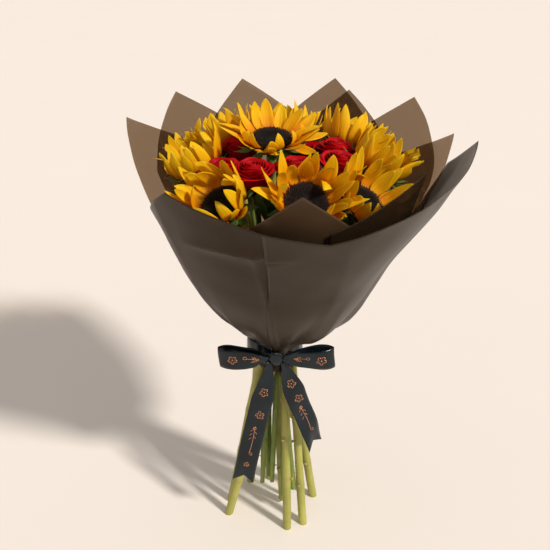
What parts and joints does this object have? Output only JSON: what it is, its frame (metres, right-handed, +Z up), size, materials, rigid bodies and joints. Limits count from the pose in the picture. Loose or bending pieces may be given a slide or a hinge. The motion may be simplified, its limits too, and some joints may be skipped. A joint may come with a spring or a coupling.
{
  "type": "bouquet of sunflowers and roses",
  "caption": "Hand-tied bouquet of sunflowers and red roses in pointed sheets of dark translucent film, with a ribbon bow; it stands on its splayed cut stems.",
  "frame": {"origin": "middle of the bouquet's bounding box at the level of the cut stem ends", "axes": "+Z up from the cut ends to the heads, -Y towards the bow, +X to the right of someone facing the bow"},
  "size_m": [0.3656, 0.3424, 0.5246],
  "materials": {
    "stem": "fresh yellow-green sunflower and rose stems, faintly ridged and hairy, with paler cut ends",
    "disc": "near-black brown florets, dry and velvety",
    "petals": "golden yellow petals, orange near the disc, softly veined and a little translucent",
    "rose": "deep crimson velvety petals, brighter on their rolled edges",
    "leaf": "dull green leaf, paler midrib",
    "film": "dark brown translucent film, half gloss",
    "tape": "clear-ish florist's binding tape",
    "ribbon": "dark blue-black satin ribbon with a rose-gold foil print of small sprays"
  },
  "bodies": {
    "root": {"sunflower_middle_stem": "stem", "sunflower_middle_disc": "disc", "sunflower_middle_petals": "petals", "sunflower_right_stem": "stem", "sunflower_right_disc": "disc", "sunflower_right_petals": "petals", "sunflower_back_right_stem": "stem", "sunflower_back_right_disc": "disc", "sunflower_back_right_petals": "petals", "sunflower_back_stem": "stem", "sunflower_back_disc": "disc", "sunflower_back_petals": "petals", "sunflower_back_left_stem": "stem", "sunflower_back_left_disc": "disc", "sunflower_back_left_petals": "petals", "sunflower_left_stem": "stem", "sunflower_left_disc": "disc", "sunflower_left_petals": "petals", "sunflower_front_left_stem": "stem", "sunflower_front_left_disc": "disc", "sunflower_front_left_petals": "petals", "sunflower_front_stem": "stem", "sunflower_front_disc": "disc", "sunflower_front_petals": "petals", "sunflower_front_right_stem": "stem", "sunflower_front_right_disc": "disc", "sunflower_front_right_petals": "petals", "rose_right_stem": "stem", "rose_right_bloom": "rose", "rose_back_stem": "stem", "rose_back_bloom": "rose", "rose_back_left_stem": "stem", "rose_back_left_bloom": "rose", "rose_left_stem": "stem", "rose_left_bloom": "rose", "rose_front_left_stem": "stem", "rose_front_left_bloom": "rose", "rose_front_stem": "stem", "rose_front_bloom": "rose", "rose_front_right_stem": "stem", "rose_front_right_bloom": "rose", "film_left": "film", "film_back_left": "film", "film_back": "film", "film_back_right": "film", "film_back_right_outer": "film", "film_right": "film", "film_right_outer": "film", "film_front": "film", "film_front_right": "film", "film_wrap_left": "film", "film_wrap_right": "film", "binding_tape": "tape", "ribbon_band": "ribbon", "ribbon_knot": "ribbon", "ribbon_loop_left": "ribbon", "ribbon_loop_right": "ribbon", "ribbon_tail_left": "ribbon", "ribbon_tail_right": "ribbon", "leaf": "leaf"}
  },
  "joints": []
}
